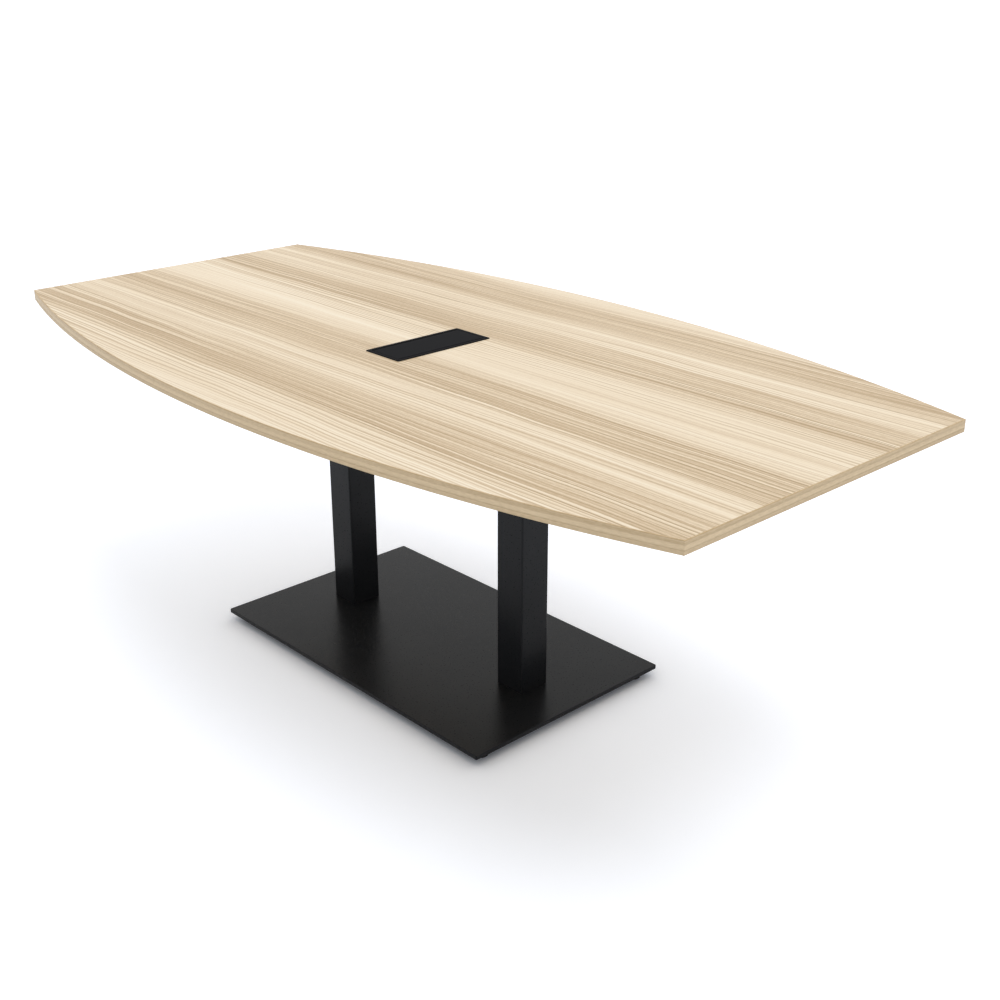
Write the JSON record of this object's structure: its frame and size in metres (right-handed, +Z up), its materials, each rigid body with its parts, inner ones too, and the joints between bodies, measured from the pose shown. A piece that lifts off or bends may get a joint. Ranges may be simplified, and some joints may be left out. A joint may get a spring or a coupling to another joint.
{
  "type": "conference table",
  "caption": "Boat-shaped conference table: banded wood-decor top with a flip-lid power box, on square steel columns and a flat base plate with levelling glides.",
  "frame": {"origin": "on the floor under the middle of the top", "axes": "+X along the length of the top, from the lid's hinge towards its free edge; +Y across the top; +Z up"},
  "size_m": [2.134, 1.143, 0.7513],
  "materials": {
    "ash_decor_laminate": "satin pale straight-grain ash decor",
    "ash_decor_edge_band": "satin ash decor band",
    "chipboard": "raw pressed chips",
    "black_powder_coat": "satin powder coat",
    "zinc_plated_steel": "bright zinc plate",
    "black_abs": "fine moulded texture",
    "grey_outlet_plastic": "smooth moulded",
    "black_nylon": "moulded, matt"
  },
  "bodies": {
    "table": {"top_laminate": "ash_decor_laminate", "top_core": "chipboard", "underside_backer": "ash_decor_laminate", "edge_band_left_end": "ash_decor_edge_band", "edge_band_right_end": "ash_decor_edge_band", "edge_band_front_side": "ash_decor_edge_band", "edge_band_rear_side": "ash_decor_edge_band", "power_bezel": "black_abs", "power_housing": "black_abs", "outlet_deck": "black_abs", "power_inlet": "grey_outlet_plastic", "mains_outlet_1": "grey_outlet_plastic", "mains_outlet_2": "grey_outlet_plastic", "usb_charger": "grey_outlet_plastic", "data_jack_1": "grey_outlet_plastic", "data_jack_2": "grey_outlet_plastic", "lid_pin_front": "zinc_plated_steel", "lid_pin_rear": "zinc_plated_steel", "clamp_bracket_front": "zinc_plated_steel", "clamp_bracket_rear": "zinc_plated_steel", "clamp_screw_front": "zinc_plated_steel", "clamp_screw_rear": "zinc_plated_steel", "base_plate": "black_powder_coat", "column_left": "black_powder_coat", "column_right": "black_powder_coat", "column_foot_left": "black_powder_coat", "column_foot_right": "black_powder_coat", "mounting_plate_left": "black_powder_coat", "mounting_plate_right": "black_powder_coat", "column_bolt_left_1": "zinc_plated_steel", "column_bolt_left_2": "zinc_plated_steel", "column_bolt_left_3": "zinc_plated_steel", "column_bolt_left_4": "zinc_plated_steel", "column_bolt_right_1": "zinc_plated_steel", "column_bolt_right_2": "zinc_plated_steel", "column_bolt_right_3": "zinc_plated_steel", "column_bolt_right_4": "zinc_plated_steel", "top_screw_left_1": "zinc_plated_steel", "top_screw_left_2": "zinc_plated_steel", "top_screw_left_3": "zinc_plated_steel", "top_screw_left_4": "zinc_plated_steel", "top_screw_right_1": "zinc_plated_steel", "top_screw_right_2": "zinc_plated_steel", "top_screw_right_3": "zinc_plated_steel", "top_screw_right_4": "zinc_plated_steel", "glide_nut_1": "zinc_plated_steel", "glide_nut_2": "zinc_plated_steel", "glide_nut_3": "zinc_plated_steel", "glide_nut_4": "zinc_plated_steel"},
    "lid": {"power_lid": "black_abs"},
    "pad_1": {"glide_pad_1": "black_nylon"},
    "pad_2": {"glide_pad_2": "black_nylon"},
    "pad_3": {"glide_pad_3": "black_nylon"},
    "pad_4": {"glide_pad_4": "black_nylon"},
    "stud_1": {"glide_stud_1": "zinc_plated_steel"},
    "stud_2": {"glide_stud_2": "zinc_plated_steel"},
    "stud_3": {"glide_stud_3": "zinc_plated_steel"},
    "stud_4": {"glide_stud_4": "zinc_plated_steel"}
  },
  "joints": [
    {"name": "lid_hinge", "type": "hinge", "parent": "table", "child": "lid", "pos_m": [-0.0424, 0, 0.7479], "axis": [0, -1, 0], "range_deg": [0, 100]},
    {"name": "glide_travel_1", "type": "slide", "parent": "table", "child": "pad_1", "axis": [0, 0, -1], "range_m": [0, 0.008]},
    {"name": "glide_travel_2", "type": "slide", "parent": "table", "child": "pad_2", "axis": [0, 0, -1], "range_m": [0, 0.008]},
    {"name": "glide_travel_3", "type": "slide", "parent": "table", "child": "pad_3", "axis": [0, 0, -1], "range_m": [0, 0.008]},
    {"name": "glide_travel_4", "type": "slide", "parent": "table", "child": "pad_4", "axis": [0, 0, -1], "range_m": [0, 0.008]},
    {"name": "glide_turn_1", "type": "hinge", "parent": "pad_1", "child": "stud_1", "pos_m": [-0.4235, -0.238, 0], "axis": [0, 0, -1], "range_deg": [-360, 2664]},
    {"name": "glide_turn_2", "type": "hinge", "parent": "pad_2", "child": "stud_2", "pos_m": [0.4235, -0.238, 0], "axis": [0, 0, -1], "range_deg": [-360, 2664]},
    {"name": "glide_turn_3", "type": "hinge", "parent": "pad_3", "child": "stud_3", "pos_m": [0.4235, 0.238, 0], "axis": [0, 0, -1], "range_deg": [-360, 2664]},
    {"name": "glide_turn_4", "type": "hinge", "parent": "pad_4", "child": "stud_4", "pos_m": [-0.4235, 0.238, 0], "axis": [0, 0, -1], "range_deg": [-360, 2664]}
  ],
  "couplings": [
    {"joint": "glide_turn_1", "follows": "glide_travel_1", "rad_per_m": 5026.5},
    {"joint": "glide_turn_2", "follows": "glide_travel_2", "rad_per_m": 5026.5},
    {"joint": "glide_turn_3", "follows": "glide_travel_3", "rad_per_m": 5026.5},
    {"joint": "glide_turn_4", "follows": "glide_travel_4", "rad_per_m": 5026.5}
  ]
}
